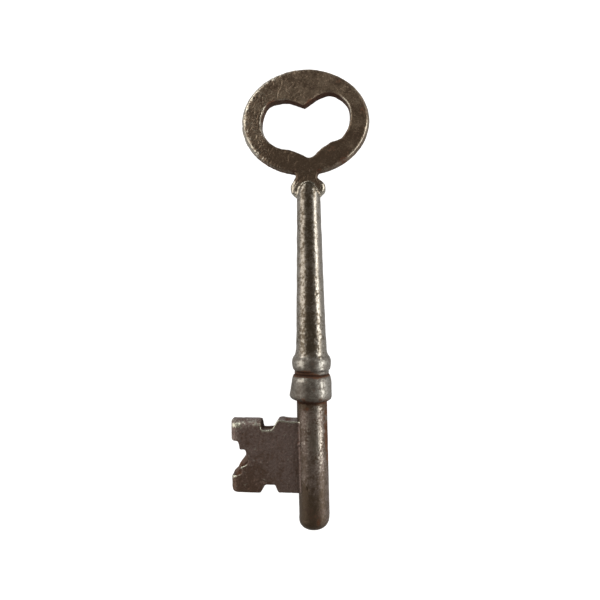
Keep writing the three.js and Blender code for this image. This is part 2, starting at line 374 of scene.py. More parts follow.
points = mesh_points(pin_mesh)
blotches = cloudy(points, 0.7)
crust = cloudy(points, 0.35)
under_collar = spot(points, (0, 21.3, 0), (9, 0.42, 9))
right_edge = spot(points, (2.7, 16.5, 0.6), (0.7, 5.5, 1.7)) * np.clip(0.95 + 1.3 * blotches, 0, 1.2)
worn = 0.13 + marks(points, {
    "left of the front": (0.08, (-1.2, 15, 2.2), (1.0, 7, 2)),
    "middle of the front": (0.36, (0, 16, 2.5), (1.2, 4, 2)),
    "right of the front": (0.55, (1.3, 15, 2.2), (0.9, 5.5, 1.5)),
    "beside the collar": (0.35, (1.1, 20.2, 2.3), (1.0, 0.6, 2)),
})
rusted = 0.1 + 1.0 * right_edge + 0.8 * under_collar + marks(points, {
    "front of the tip": (0.25, (0.3, 3, 2.4), (1.8, 3, 1.5)),
    "speck on the tip": (0.3, (1.0, 1.7, 2.3), (0.5, 0.8, 2)),
    "left edge": (0.3, (-2.4, 14, 1), (0.6, 6, 1.3)),
    "below the collar": (0.5, (-0.8, 20.3, 2.3), (1.0, 0.5, 2)),
})
# Just under the collar the pin is darkened: rust there, and painted shadow where the collar overhangs it.
stained = 0.2 + (0.5 + 0.7 * crust) * right_edge + marks(points, {
    "left of the tip": (0.8, (-1.5, 2, 1), (2.6, 6, 4)),
    "right of the tip": (0.25, (2, 4, 2), (1.5, 4, 2)),
    "end of the tip": (0.5, (0, 0, 0), (4, 0.9, 4)),
    "left edge": (0.6, (-2.3, 15, 1.4), (0.5, 6, 1.2)),
    "below the collar": (0.2, (0, 20.5, 2), (3, 0.7, 3)),
    "rust and painted shadow under the collar": (0.9, (-0.3, 21.2, 2), (2, 0.5, 3)),
})
finish_piece(pin_mesh, "pin", pin_iron, worn, rusted, stained, polished=0.0)


# Bit: the flat web that throws the bolt, cast with the pin. Two ward cuts are filed into its long edges and
# a stepped cut into its end, wider at the front than at the back. The edges of the cuts are rubbed grey.
BIT_THICKNESS = 3.05
BIT_REACH = 13.75
BIT_HEIGHT = 11.85
BIT_FOOT = 6.1
BIT_FILLET = 0.6
BIT_FACE_SKIN = 0.2
BIT_BUMP = 0.17
BIT_SCALE_GRAIN = 0.16
JAW_START = -8.2
JAW_FULL = -8.8
JAW_WEAR_WIDTH = 1.1
JAW_WEAR = 1.2
END_WEAR_WIDTH = 1.5
END_WEAR = 0.75
MOST_WEAR = 1.3
BACK_WEAR_SHARE = 0.4
BIT_SCUFFS = ((-9.55, 13.3), (-9.05, 9.6), (-11.2, 7.4), (-3.8, 11.6), (-8.0, 8.2))
VOXEL = 0.1
EDGE_HEIGHT = 0.035
SMOOTHING = 0.6


def rounded_outline(corners):
    """A closed outline from corners given as (x, y, rounding radius)."""
    outline = []
    for i, (x, y, radius) in enumerate(corners):
        corner = Vector((x, y))
        if radius == 0:
            outline.append((x, y))
            continue
        before = Vector(corners[i - 1][:2]) - corner
        after = Vector(corners[(i + 1) % len(corners)][:2]) - corner
        room = min(before.length, after.length) / 2
        before.normalize()
        after.normalize()
        half_angle = before.angle(after) / 2
        reach = min(radius / math.tan(half_angle), room)
        start = corner + before * reach
        end = corner + after * reach
        for step in range(7):
            t = step / 6
            place = start * (1 - t) ** 2 + corner * 2 * t * (1 - t) + end * t ** 2
            outline.append(tuple(place))
    return outline


def inset(outline, distance):
    """An outline moved inwards, with its inside on the left of its direction."""
    points = np.array(outline, float)
    ahead = np.roll(points, -1, 0) - points
    ahead /= np.maximum(np.hypot(ahead[:, 0], ahead[:, 1]), 1e-9)[:, None]
    behind = np.roll(ahead, 1, 0)
    way = ahead + behind
    way /= np.maximum(np.hypot(way[:, 0], way[:, 1]), 1e-9)[:, None]
    return points + distance * np.stack([-way[:, 1], way[:, 0]], 1)


def plate(levels):
    """Points and faces of a closed plate. Each level is a height and the list of its outlines there, the
    outer one first and then its holes."""
    points = []
    starts = []
    for height, outlines in levels:
        starts.append(len(points))
        for outline in outlines:
            points.extend((x, y, height) for x, y in outline)
    faces = []
    loops = [len(outline) for outline in levels[0][1]]
    for low, high in zip(starts, starts[1:]):
        place = 0
        for size in loops:
            for i in range(size):
                after = (i + 1) % size
                faces.append((low + place + i, low + place + after, high + place + after, high + place + i))
            place += size
    for start, level, flipped in ((starts[0], levels[0], True), (starts[-1], levels[-1], False)):
        loops_here = [[Vector((x, y, 0)) for x, y in outline] for outline in level[1]]
        for triangle in tessellate_polygon(loops_here):
            face = tuple(start + i for i in triangle)
            faces.append(face[::-1] if flipped else face)
    return points, faces


def smoothed(mesh, places, share, rounds):
    """Places drawn towards the mean of their neighbours, by a share of the way in each round."""
    edges = np.empty(len(mesh.edges) * 2, int)
    mesh.edges.foreach_get("vertices", edges)
    first, second = edges.reshape(-1, 2).T
    partners = np.bincount(np.concatenate([first, second]), minlength=len(places))
    for _ in range(rounds):
        total = np.zeros_like(places)
        for axis in range(3):
            total[:, axis] += np.bincount(first, places[second, axis], len(places))
            total[:, axis] += np.bincount(second, places[first, axis], len(places))
        places = places + share * (total / partners[:, None] - places)
    return places


def cast_solid(name, solids, softness):
    """One even skin over overlapping solids, with its edges and corners softened as wear softens them."""
    points = []
    faces = []
    for some_points, some_faces in solids:
        faces.extend(tuple(len(points) + i for i in face) for face in some_faces)
        points.extend(some_points)
    rough = iron_mesh(f"{name}_rough", np.array(points, float), faces)
    body = bpy.data.objects.new(f"{name}_rough", rough)
    bpy.context.scene.collection.objects.link(body)
    skin = body.modifiers.new("skin", "REMESH")
    skin.mode = "VOXEL"
    skin.voxel_size = VOXEL
    graph = bpy.context.evaluated_depsgraph_get()
    mesh = bpy.data.meshes.new_from_object(body.evaluated_get(graph))
    bpy.data.objects.remove(body)
    move_points(mesh, smoothed(mesh, mesh_points(mesh), SMOOTHING, softness))
    mesh.name = name
    mesh.shade_smooth()
    return mesh


def bit_outline(opened):
    """The bit's outline, from inside the pin round the ward cuts. The end cut's lower wall is scooped out
    towards the front, in two hollows with a ledge between them."""
    top = BIT_HEIGHT
    left = -BIT_REACH
    step = left + 1.27
    tread = opened * 0.3
    back_wall = [(2.3, 5.95), (1.95, 5.25), (1.42, 4.6), (1.1, 4.2), (0.95, 3.9),
                 (0.8, 3.5), (0.45, 3.15), (0.17, 2.95), (0, 2.6)]
    front_wall = [(2.7, 5.8), (3.15, 5.3), (2.95, 4.75), (2.3, 4.3), (1.5, 4.12),
                  (1.95, 3.65), (1.75, 3.05), (1.1, 2.7), (0, 2.62)]
    corners = [
        (-1.0, top, 0),
        (-5.75, top + 0.05, 0.25),
        (-6.7, top - 1.42, 0.6),
        (-8.45, top - 1.5, 0.25),
        (-8.7, top + 0.07, 0.3),
        (left, top + 0.07, 0.1),
        (left, top - 3.35, 0.6),
        (step, top - 3.4, 0.3),
        (step + tread, top - 4.8, 0.25),
        (left + 2.22 + tread, top - 4.8, 0.4),
    ]
    for (back_x, back_y), (front_x, front_y) in zip(back_wall, front_wall):
        x = back_x + opened * (front_x - back_x)
        y = back_y + opened * (front_y - back_y)
        corners.append((left + x, y, 0.2))
    corners += [
        (left, -0.1, 0.9),
        (-8.75, -0.12, 0.25),
        (-7.95, 1.25, 0.3),
        (-6.3, 1.25, 0.3),
        (-5.75, 0, 0.25),
        (-1.0, 0, 0),
    ]
    return [(x, y + BIT_FOOT) for x, y in rounded_outline(corners)]


def sharpness(mesh):
    """How far each point stands out on an edge, from 0 on a flat to about 1, and below 0 in a corner."""
    places = mesh_points(mesh)
    normals = mesh_points(mesh, "normal")
    smooth = smoothed(mesh, places, SMOOTHING, 6)
    return ((places - smooth) * normals).sum(1) / EDGE_HEIGHT


half = BIT_THICKNESS / 2
web = plate([
    (-half, [bit_outline(0.0)]),
    (-half * 0.3, [bit_outline(0.0)]),
    (half * 0.2, [bit_outline(0.65)]),
    (half * 0.7, [bit_outline(0.9)]),
    (half, [bit_outline(1.0)]),
])
bit_mesh = cast_solid("worn_bit", [web], 4)

# The faces rise in a small fillet to the pin
points = mesh_points(bit_mesh)
fillet_start = -math.sqrt((PIN_RADIUS + BIT_FILLET) ** 2 - (half + BIT_FILLET) ** 2)
fillet_end = fillet_start * PIN_RADIUS / (PIN_RADIUS + BIT_FILLET)
along_fillet = np.clip(points[:, 0], fillet_start, fillet_end) - fillet_start
rise = BIT_FILLET - np.sqrt(BIT_FILLET ** 2 - along_fillet ** 2)
rise *= ramp(points[:, 0], fillet_end + 0.3, fillet_end)
on_face = np.abs(points[:, 2]) > half - BIT_FACE_SKIN
points[:, 2] += np.where(on_face, np.sign(points[:, 2]) * rise, 0)

# The faces are worn round along the top of the upper jaw and at the bit's end, the front more than the back
from_top = BIT_FOOT + BIT_HEIGHT - points[:, 1]
from_end = points[:, 0] + BIT_REACH
jaw = ramp(points[:, 0], JAW_START, JAW_FULL)
over_top = ramp(from_top, JAW_WEAR_WIDTH, 0)
over_end = ramp(from_end, END_WEAR_WIDTH, 0)
drop_top = (1 - np.sqrt(1 - over_top ** 2)) * JAW_WEAR * jaw
drop_end = (1 - np.sqrt(1 - over_end ** 2)) * END_WEAR
drop = np.minimum(np.hypot(drop_top, drop_end), MOST_WEAR)
points[:, 2] *= np.where(points[:, 2] > 0, 1 - drop / half, 1 - BACK_WEAR_SHARE * drop / half)

# A low bump stands on the upper edge beside its cut, and a grain of casting scale beside the pin
bump_top = np.exp(-((points[:, 0] + 5.15) / 0.8) ** 2) * ramp(from_top, 1.2, 0)
points[:, 1] += BIT_BUMP * bump_top
points[:, 2] += BIT_SCALE_GRAIN * spot(points, (-2.05, 14.2, half), (0.2, 0.25, 0.5))
move_points(bit_mesh, points)
bit_edges = sharpness(bit_mesh)
roughen(bit_mesh, waves=0.02, grain=0.022, pits=0.05, seed=23.0)

points = mesh_points(bit_mesh)
normals = mesh_points(bit_mesh, "normal")
in_front = points[:, 2] > 0
walls = normals[:, 2] < 0.7
standing = np.clip(bit_edges, 0, 1)
upper = np.clip(normals[:, 1], 0, 1) * ramp(points[:, 1], 17, 17.6)
face_top = ramp(points[:, 1], 12.5, 16.5)
upper_notch = spot(points, (-7.4, 16.9, 0), (1.3, 0.75, 3)) * np.clip(1.25 - points[:, 2], 0, 1)
notch_wall = spot(points, (-8.6, 17.2, 0), (0.35, 0.9, 2.2)) * np.clip(normals[:, 0] * 2, 0, 1)
hollows = spot(points, (-12.0, 10.3, 0.5), (1.3, 2.2, 1.6)) * np.clip(1 - normals[:, 2] * 1.2, 0, 1)
notch_edge = standing * spot(points, (-7.4, 16.6, 1.6), (1.9, 1.3, 0.6))
inner_edge = standing * spot(points, (-3.9, 18, 1.6), (2.2, 0.5, 0.6))
lips = standing * marks(points, {
    "upper lip of the end cut": (1.0, (-11.5, 10.2, 1.5), (0.9, 0.5, 0.5)),
    "lower lip of the end cut": (0.7, (-13.0, 8.6, 1.5), (0.7, 0.3, 0.6)),
})
worn = 0.12 - 0.05 * upper + 0.07 * face_top + 0.15 * standing + 0.17 * over_top * jaw * in_front
worn += 1.6 * notch_edge + 1.2 * inner_edge + 1.3 * lips
worn -= 0.6 * upper_notch + 0.4 * hollows + 0.6 * notch_wall
worn += marks(points, {
    "dull upper jaw": (-0.04, (-11.3, 15.6, 1.6), (3, 2.0, 1.5)),
    # The upper jaw's top left corner carries a painted highlight.
    "painted highlight on the upper jaw's corner": (1.3, (-12.7, 17.25, 1.6), (0.5, 0.3, 1)),
    "end of the lower jaw": (0.3, (-13.6, 8, 1.5), (0.5, 1.2, 1)),
})
for scuff in BIT_SCUFFS:
    worn += 0.32 * spot(points, (*scuff, half), (0.35, 0.16, 0.5))
rusted = 0.06 + 1.1 * hollows + 0.9 * upper_notch + 0.6 * notch_wall + 0.25 * np.clip(-bit_edges, 0, 1)
rusted -= 1.5 * (lips + notch_edge + inner_edge)
rusted += marks(points, {
    "lower half of the face": (0.18, (-9.5, 8, 1.5), (5, 3.4, 2)),
    "seam at the pin": (0.25, (-2.3, 15, 1.8), (0.35, 3, 1)),
    "upper edge by the pin": (0.6, (-4.2, 18, 0), (0.8, 0.4, 1.2)),
})
# Its last term paints walls facing down the frame darker: painted shade on the bit's lower edges.
stained = 0.1 + 1.2 * upper_notch + 1.2 * notch_wall + 0.4 * hollows + 0.5 * np.clip(-normals[:, 1], 0, 1)
# Below the upper lip and above the lower lip, the hollows' walls are painted darker: painted shade in the
# end cut.
stained += walls * marks(points, {
    "painted shade below the upper lip": (1.0, (-11.2, 11.1, 0.6), (0.9, 0.55, 1)),
    "painted shade above the lower lip": (0.8, (-12.8, 9.4, 0.6), (0.6, 0.3, 1)),
})
stained += marks(points, {
    "lower half of the face": (0.6, (-11, 7.5, 1.5), (4.5, 4.0, 2)),
    "upper jaw": (0.12, (-11.3, 15.2, 1.6), (3, 2.0, 1.5)),
    "end of the lower jaw": (0.3, (-13.6, 8, 0), (0.5, 2, 1)),
})
bit_iron = iron_material("bit_iron", {
    "Patina": (0.172, 0.133, 0.123, 1),
    "Dark Patina": (0.108, 0.072, 0.055, 1),
    "Bare Iron": (0.43, 0.435, 0.37, 1),
    "Rust": (0.11, 0.046, 0.02, 1),
    "Pit Rust": 0.3,
    "Grain Size": 0.4,
    "Grain Height": 0.026,
    "Bare Roughness": 0.34,
    "Patina Roughness": 0.48,
    "Patina Metal": 0.65,
})
finish_piece(bit_mesh, "bit", bit_iron, worn, rusted, stained, polished=0.0)


# Collar: the wide band that stops the key in the lock, cast in one with the rod. Its two mould halves met
# badly, so its lower left bulges a little. It is polished by the pocket, with rust left underneath it. A
# painted highlight lies on its upper left shoulder, and painted shade dulls its left.
COLLAR_FOOT = 21.25
COLLAR_WIDTH = 4.5
COLLAR_RADIUS = 3.36
COLLAR_TOP_RADIUS = 2.85
COLLAR_SHOULDER = 1.9
COLLAR_BULGE = 0.4
COLLAR_FOOT_SLANT = 0.12
RING_POLISH = 0.3
collar_top = COLLAR_FOOT + COLLAR_WIDTH
collar_profile = [
    (0, COLLAR_FOOT + 0.12),
    (2.4, COLLAR_FOOT + 0.12),
    *arc(COLLAR_RADIUS - 0.7, COLLAR_FOOT + 0.87, 0.7, 0.75, -90, 0, 10),
    *arc(COLLAR_TOP_RADIUS, collar_top - COLLAR_SHOULDER,
         COLLAR_RADIUS - COLLAR_TOP_RADIUS, COLLAR_SHOULDER, 0, 90, 10),
    (2.6, collar_top + 0.1),
    (0, collar_top + 0.1),
]
points, faces = round_bar(collar_profile, 5)
left_side = ramp(points[:, 0], 0, -COLLAR_RADIUS) ** 2
low_half = ramp(points[:, 1], COLLAR_FOOT + 3.2, COLLAR_FOOT + 0.8)
outside = np.hypot(points[:, 0], points[:, 2]) / COLLAR_RADIUS
points[:, 0] -= COLLAR_BULGE * left_side * low_half * outside
slanted_foot = ramp(points[:, 1], COLLAR_FOOT + 1.6, COLLAR_FOOT + 0.4)
points[:, 1] -= COLLAR_FOOT_SLANT * points[:, 0] / COLLAR_RADIUS * slanted_foot
collar_mesh = iron_mesh("worn_collar", points, faces)
roughen(collar_mesh, waves=0.03, grain=0.016, pits=0.02, seed=31.0)

points = mesh_points(collar_mesh)
under = spot(points, (0, COLLAR_FOOT, 0), (9, 0.45, 9))
groove = spot(points, (0, collar_top, 0), (9, 0.4, 9))
# The upper left mark paints a highlight on the shoulder, and the duller left is painted shade that dims a
# light's reflection there.
worn = 0.36 - 0.5 * under - 0.4 * groove + marks(points, {
    "right": (0.36, (2.0, COLLAR_FOOT + 2.4, 2.4), (0.9, 1.5, 2)),
    "middle": (0.05, (-0.2, COLLAR_FOOT + 2.3, 3.2), (1.2, 1.6, 2)),
    "upper left": (0.6, (-1.2, COLLAR_FOOT + 3.9, 2.6), (1.7, 0.4, 1.5)),
    "painted shade on the left": (-0.22, (-2.2, COLLAR_FOOT + 1.9, 2.4), (1.2, 1.5, 2)),
})
rusted = 0.06 + 0.8 * under + 0.8 * groove + marks(points, {
    "lower right": (0.4, (1.6, COLLAR_FOOT + 0.75, 2.6), (0.8, 0.4, 1.5)),
    "lower left": (0.4, (-0.9, COLLAR_FOOT + 0.65, 2.6), (1.1, 0.45, 1.5)),
    "upper right": (0.28, (1.3, COLLAR_FOOT + 4.2, 2.6), (1.0, 0.5, 1.5)),
})
stained = 0.2 + 0.9 * under + 0.8 * groove + marks(points, {
    "middle": (0.15, (-0.2, COLLAR_FOOT + 2.2, 3.3), (0.9, 1.8, 1)),
    "lower edge": (0.6, (0.3, COLLAR_FOOT + 0.6, 2.6), (2.2, 0.5, 1.5)),
})
ring_iron = iron_material("ring_iron", {
    "Patina": (0.195, 0.182, 0.164, 1),
    "Dark Patina": (0.11, 0.096, 0.082, 1),
    "Bare Iron": (0.29, 0.28, 0.255, 1),
    "Rust": (0.12, 0.05, 0.024, 1),
    "Pit Rust": 0.3,
    "Grain Size": 0.5,
    "Grain Height": 0.014,
    "Bare Roughness": 0.36,
    "Patina Roughness": 0.56,
    "Patina Metal": 0.75,
})
finish_piece(collar_mesh, "collar", ring_iron, worn, rusted, stained, polished=RING_POLISH)


# Bead: the half-round ring on the collar, of the same casting, rubbed by handling, with painted highlights
# at its upper left and right. A narrow band runs below its round, and rust is left in the groove between the
# band and the collar.
BEAD_FOOT = 25.75
BEAD_WIDTH = 3.15
BEAD_RADIUS = 3.28
BEAD_BAND = 0.6
BEAD_BAND_RADIUS = 2.9
BEAD_TOP_RADIUS = 2.6
BEAD_LEAN = 0.05
bead_middle = BEAD_FOOT + 2.0
bead_top = BEAD_FOOT + BEAD_WIDTH
bead_profile = [
    (0, BEAD_FOOT - 0.1),
    (2.7, BEAD_FOOT - 0.1),
    (BEAD_BAND_RADIUS + 0.03, BEAD_FOOT + 0.15),
    (BEAD_BAND_RADIUS - 0.05, BEAD_FOOT + BEAD_BAND - 0.05),
    *arc(BEAD_BAND_RADIUS, bead_middle,
         BEAD_RADIUS - BEAD_BAND_RADIUS, bead_middle - BEAD_FOOT - BEAD_BAND, -80, 0, 10),
    *arc(BEAD_TOP_RADIUS, bead_middle, BEAD_RADIUS - BEAD_TOP_RADIUS, bead_top - bead_middle, 0, 90, 10)[1:],
    (0, bead_top),
]
points, faces = round_bar(bead_profile, 1)
points[:, 0] += BEAD_LEAN
bead_mesh = iron_mesh("worn_bead", points, faces)
roughen(bead_mesh, waves=0.045, grain=0.012, pits=0.02, seed=43.0)

points = mesh_points(bead_mesh)
right_part = ramp(points[:, 0], 0.4, 1.8)
low_line = spot(points, (0, BEAD_FOOT - 0.02, 0), (9, 0.16, 9)) * (1 - 0.6 * right_part)
high_line = spot(points, (-1.3, BEAD_FOOT + BEAD_BAND, 3), (2, 0.16, 3))
groove = spot(points, (0, BEAD_FOOT + 0.2, 0), (9, 0.45, 9)) * (1 - 0.75 * right_part)
band = spot(points, (0, BEAD_FOOT + 0.3, 0), (9, 0.25, 9)) * np.clip(0.65 - points[:, 0] / 3, 0.25, 1)
dark_patch = spot(points, (0.55, BEAD_FOOT + 2.0, 3), (0.65, 1.0, 1.5))
# The upper left and right marks are painted highlights on the bead's round.
worn = 0.4 - 0.75 * groove - 0.15 * dark_patch + marks(points, {
    "upper left": (0.7, (-1.5, BEAD_FOOT + 2.1, 2.7), (0.7, 0.4, 1.2)),
    "right": (0.4, (1.9, BEAD_FOOT + 1.7, 2.4), (0.35, 0.6, 1.2)),
})
rusted = 0.06 + 0.45 * groove + 0.7 * low_line + 0.7 * high_line + 0.24 * band + 0.3 * dark_patch
rusted += 0.42 * spot(points, (-0.7, BEAD_FOOT + 0.95, 3), (1.0, 0.3, 1.2))
stained = 0.2 + 0.5 * dark_patch + 0.9 * low_line + 0.8 * high_line + 0.45 * groove + 0.2 * band
finish_piece(bead_mesh, "bead", ring_iron, worn, rusted, stained, polished=RING_POLISH)


# Stem: the tapered rod between the bead and the bow, cast in one with them. Its foot flares over the bead,
# and its domed head runs out on the flat of the bow's neck. It is rubbed bright and pitted, most lower down.
STEM_FOOT = 28.9
STEM_LENGTH = 26.3
STEM_FOOT_RADIUS = 2.6
STEM_MID_RADIUS = 2.3
STEM_MID_HEIGHT = 8.7
STEM_HEAD_RADIUS = 1.98
STEM_LEAN = 0.06
DOME_START = 0.4
DOME_HEIGHT = 2.62


def taper(t):
    """Radius and height on the stem's curved taper, from 0 at its foot to 1 at its head."""
    radius = (1 - t) ** 2 * STEM_FOOT_RADIUS + 2 * t * (1 - t) * STEM_MID_RADIUS + t ** 2 * STEM_HEAD_RADIUS
    height = 2 * t * (1 - t) * STEM_MID_HEIGHT + t ** 2 * STEM_LENGTH
    return radius, STEM_FOOT + height


dome_foot = STEM_FOOT + STEM_LENGTH + DOME_START
stem_profile = [
    (0, STEM_FOOT - 0.6),
    (3.12, STEM_FOOT - 0.6),
    (3.13, STEM_FOOT - 0.45),
    (3.05, STEM_FOOT - 0.3),
    (2.94, STEM_FOOT - 0.15),
    (2.81, STEM_FOOT),
    (2.72, STEM_FOOT + 0.2),
    (2.655, STEM_FOOT + 0.45),
    *[taper(t) for t in np.linspace(0.055, 1, 30)],
    *arc(0, dome_foot, STEM_HEAD_RADIUS, DOME_HEIGHT, 0, 90, 24),
]
points, faces = round_bar(stem_profile, 6)
points[:, 0] += STEM_LEAN
stem_mesh = iron_mesh("worn_stem", points, faces)
lower_half = ramp(mesh_points(stem_mesh)[:, 1], 46, 40)
roughen(stem_mesh, waves=0.05, grain=0.01 + 0.006 * lower_half, pits=0.02 + 0.022 * lower_half, seed=57.0)

points = mesh_points(stem_mesh)
# The middle of the stem's front is painted darker, less of it towards the head: a painted reflection of the
# dark ceiling.
middle = np.exp(-((points[:, 0] - 0.15) / 0.85) ** 2) * ramp(points[:, 1], 29.3, 29.8)
middle *= 1.15 - 0.5 * ramp(points[:, 1], 34, 50)
worn = 0.64 - 0.32 * middle + marks(points, {
    "bright right": (0.2, (2, 45, 1), (1.5, 9, 3)),
    "duller foot": (-0.06, (-1.5, 33, 2), (1.2, 6, 2)),
    # The two dome marks are painted shade, dimming the lights' streaks beside the dome.
    "painted shade left of the dome": (-0.1, (-1.0, 57, 1.6), (0.8, 1.7, 1.5)),
    "painted shade right of the dome": (-0.4, (1.3, 57.6, 1.5), (0.8, 1.6, 2)),
})
rusted = 0.04 + 0.35 * spot(points, (0.2, 32.5, 2.6), (0.9, 2.2, 1.2))
stained = 0.3 + 0.35 * middle + marks(points, {
    "front of the foot": (0.4, (0.3, 33, 2.6), (1.0, 5, 1.2)),
    "painted shade right of the dome": (0.3, (1.3, 57.6, 1.5), (0.8, 1.6, 2)),
})
stem_iron = iron_material("stem_iron", {
    "Patina": (0.18, 0.155, 0.12, 1),
    "Dark Patina": (0.1, 0.082, 0.06, 1),
    "Bare Iron": (0.28, 0.26, 0.23, 1),
    "Rust": (0.07, 0.03, 0.014, 1),
    "Pit Rust": 0.2,
    "Grain Size": 0.5,
    "Grain Height": 0.004,
    "Bare Roughness": 0.31,
    "Patina Roughness": 0.38,
    "Patina Metal": 0.85,
})
finish_piece(stem_mesh, "stem", stem_iron, worn, rusted, stained, polished=0.0)


# Bow: the flat oval that the fingers hold, one casting with a heart-shaped eye, drafted both ways from the
# parting line round its edge. Its neck has two small round ears, and the metal runs up to the stem's dome.
# It is roughest on its left, smoothest at its lower right, and rubbed bright along its upper left rim, where
# a painted highlight and a broad painted sheen lie too.
BOW_THICKNESS = 2.3
BOW_DRAFT = 0.32
BOW_ROUNDING = 0.3
BOW_CENTRE = (-0.3, 67.82)
BOW_HALF_WIDTH = 10.72
BOW_HALF_HEIGHT = 8.8
BOW_MEAN_RADIUS = 9.5
BOW_TILT = math.radians(-2.2)
BOW_SWELL = 0.25
BOW_SWELL_TURN = math.radians(138)
EYE_CENTRE = (-0.14, 67.8)
EYE_TILT = math.radians(5.1)
EYE_DRAFT_SHARE = 0.6
LOBE_REACH = 3.59
LOBE_RADIUS = 3.84
LOBE_HEIGHT = 0.13
LOBE_END = -72
CUSP_HEIGHT = 2.59
POINT_HEIGHT = -5.11
POINT_RADIUS = 0.8
POINT_START = -51
FLANK_EASE = 1.45
NECK_FOOT = 55.2
NECK_ROUNDING = 0.25
EAR_ROUNDING = 0.75
DOME_FILLET = 0.2
DOME_HIGHLIGHT_WIDTH = 0.26
RIM_WEAR_WIDTH = 0.85
LEFT_RIM_WEAR = 0.37
RIGHT_RIM_WEAR = 0.03
EYE_RAGGEDNESS = 0.28
STROKE_DEPTH = 0.12
STROKES_ROUND_RIM = 39

# Where a file or a bad casting has moved the eye's edge: its direction from the eye's centre in degrees, how
# far outwards, and over how many degrees
EYE_FILED = (
    (2, -0.13, 12),
    (48, 0.28, 9),
    (79, -0.24, 8),
    (153, 0.45, 12),
    (226, 0.2, 8),
    (286, 0.2, 6),
    (330, 0.28, 8),
)


def leaned(points, centre, tilt):
    """Points turned about the origin and moved to a centre."""
    cos, sin = math.cos(tilt), math.sin(tilt)
    x, y = np.array(points, float).T
    return np.stack([centre[0] + x * cos - y * sin, centre[1] + x * sin + y * cos], 1)


def oval_outline(narrowed):
    """The bow's oval, smaller all round by a distance, with a slight swell at its upper left."""
    ring = np.array(arc(0, 0, BOW_HALF_WIDTH - narrowed, BOW_HALF_HEIGHT - narrowed, 0, 360, 160)[:-1])
    from_swell = np.arctan2(ring[:, 1], ring[:, 0]) - BOW_SWELL_TURN
    swell = BOW_SWELL * np.clip(np.cos(from_swell), 0, 1) ** 2
    ring *= 1 + swell[:, None] / np.hypot(ring[:, :1], ring[:, 1:])
    return leaned(ring, BOW_CENTRE, BOW_TILT)


def heart_outline(widened):
    """The eye's heart, larger all round by a distance: two round lobes, easy flanks and a blunt point."""
    radius = LOBE_RADIUS + widened
    cusp = CUSP_HEIGHT + widened
    point_radius = POINT_RADIUS + widened
    to_cusp = math.hypot(LOBE_REACH, cusp - LOBE_HEIGHT)
    tangent = math.asin(radius / to_cusp) - math.atan2(cusp - LOBE_HEIGHT, LOBE_REACH)
    lobe = arc(LOBE_REACH, LOBE_HEIGHT, radius, radius, math.degrees(tangent) + 90, LOBE_END, 40)
    tip = arc(0, POINT_HEIGHT, point_radius, point_radius, POINT_START, -90, 5)
    lobe_way = np.array([math.sin(math.radians(LOBE_END)), -math.cos(math.radians(LOBE_END))])
    tip_way = np.array([-math.sin(math.radians(POINT_START)), math.cos(math.radians(POINT_START))])
    lobe_end = np.array(lobe[-1])
    tip_start = np.array(tip[0])
    lobe_pull = lobe_end + FLANK_EASE * lobe_way
    tip_pull = tip_start + FLANK_EASE * tip_way
    t = np.linspace(0, 1, 14)[1:-1, None]
    flank = ((1 - t) ** 3 * lobe_end + 3 * (1 - t) ** 2 * t * lobe_pull
             + 3 * (1 - t) * t ** 2 * tip_pull + t ** 3 * tip_start)
    right = np.vstack([lobe, flank, tip])
    left = right[:-1][::-1] * [-1, 1]
    heart = leaned(np.vstack([[0, cusp], right, left])[::-1], (0, 0), EYE_TILT)
    turn = np.degrees(np.arctan2(heart[:, 1], heart[:, 0]))
    for direction, distance, spread in EYE_FILED:
        away = (turn - direction + 180) % 360 - 180
        moved = distance * np.exp(-(away / spread) ** 2)
        heart *= 1 + (moved / np.hypot(heart[:, 0], heart[:, 1]))[:, None]
    return heart + EYE_CENTRE


def drawn_in(height, half_thickness, rounding):
    """How far a plate's rounded edge lies inside its outline at a height."""
    over = max(abs(height) - (half_thickness - rounding), 0)
    return rounding - math.sqrt(max(rounding ** 2 - over ** 2, 0))


def round_edged(outline, half_thickness, rounding):
    """The levels of a plate whose edge is rounded over front and back."""
    return [(height, [inset(outline, drawn_in(height, half_thickness, rounding) * 0.98)])
            for height in np.linspace(-half_thickness, half_thickness, 17)]


neck = rounded_outline([
    (-1.3, NECK_FOOT - 0.4, 0),
    (1.3, NECK_FOOT - 0.4, 0),
    (1.6, NECK_FOOT + 3.6, 0.3),
    (1.9, NECK_FOOT + 4.6, 0.15),
    (1.6, NECK_FOOT + 5.2, 0),
    (-1.6, NECK_FOOT + 5.2, 0),
    (-2.2, NECK_FOOT + 4.55, 0.15),
    (-1.95, NECK_FOOT + 3.5, 0.3),
])
ears = rounded_outline([
    (-1.3, NECK_FOOT - 0.4, 0),
    (1.3, NECK_FOOT - 0.4, 0),
    (1.85, NECK_FOOT - 0.1, 0.1),
    (2.92, NECK_FOOT + 0.95, 0.9),
    (2.92, NECK_FOOT + 2.2, 0.9),
    (1.52, NECK_FOOT + 3.38, 0.2),
    (-2.0, NECK_FOOT + 3.6, 0.4),
    (-2.92, NECK_FOOT + 2.1, 0.8),
    (-2.92, NECK_FOOT + 0.95, 0.9),
    (-1.85, NECK_FOOT - 0.1, 0.1),
])
half = BOW_THICKNESS / 2
oval_levels = []
for height in np.linspace(-half, half, 21):
    narrowed = drawn_in(height, half, BOW_ROUNDING) + BOW_DRAFT * abs(height) / half
    oval_levels.append((height, [oval_outline(narrowed), heart_outline(EYE_DRAFT_SHARE * narrowed)]))
bow_mesh = cast_solid("worn_bow", [
    plate(oval_levels),
    plate(round_edged(neck, half, NECK_ROUNDING)),
    plate(round_edged(ears, half, EAR_ROUNDING)),
], 5)

# The corners between the neck and the oval are eased
points = mesh_points(bow_mesh)
notches = marks(points, {
    "right": (1, (1.8, NECK_FOOT + 4.4, 0), (0.6, 0.7, 3)),
    "left": (1, (-2.1, NECK_FOOT + 4.4, 0), (0.6, 0.5, 3)),
})
move_points(bow_mesh, smoothed(bow_mesh, points, SMOOTHING * np.clip(notches, 0, 1)[:, None], 14))

